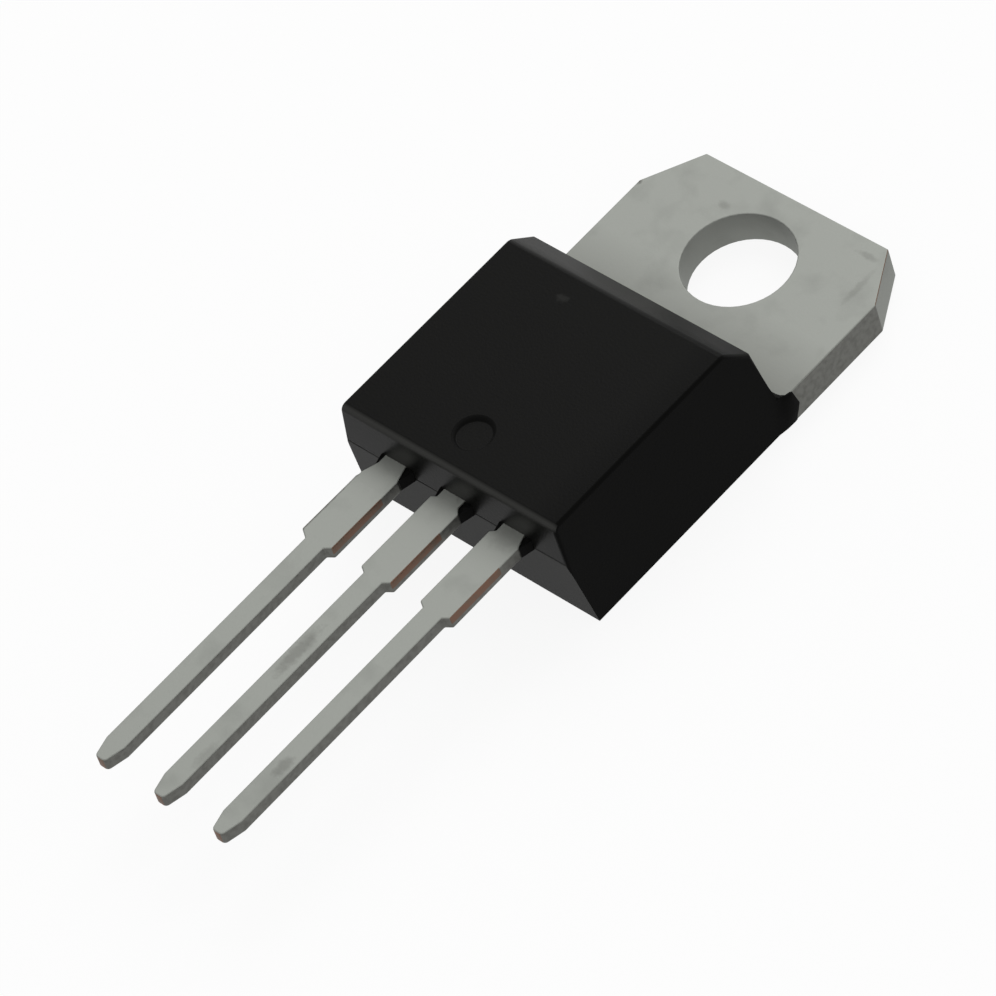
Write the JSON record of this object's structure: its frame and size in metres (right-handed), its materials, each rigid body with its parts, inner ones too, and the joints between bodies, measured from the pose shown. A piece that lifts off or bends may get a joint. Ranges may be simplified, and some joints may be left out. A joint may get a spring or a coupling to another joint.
{
  "type": "thyristor",
  "caption": "Three-lead power thyristor: moulded epoxy body on a thick tinned copper tab with a screw hole, and a row of flat stepped leads for soldering.",
  "frame": {"origin": "centre of the mounting hole, on the mounting face (the back of the tab)", "axes": "+Z out of the mounting face towards the front of the body, +Y from the body towards the free end of the tab, leads along -Y, +X across the tab towards the gate lead"},
  "size_m": [0.0102, 0.0294, 0.0045],
  "materials": {
    "tinned_copper": "matt tin plating on copper, bare reddish copper on the sheared edges next to the body",
    "epoxy_moulding": "black, finely grained, faintly glossy",
    "silicon": "polished, bluish grey",
    "soft_solder": "dull grey",
    "aluminium_wire": "drawn, bright"
  },
  "bodies": {
    "root": {"header": "tinned_copper", "cathode_lead": "tinned_copper", "gate_lead": "tinned_copper", "silicon_die": "silicon", "die_solder": "soft_solder", "cathode_wire_1": "aluminium_wire", "cathode_wire_2": "aluminium_wire", "gate_wire": "aluminium_wire", "moulded_body": "epoxy_moulding"}
  },
  "joints": []
}
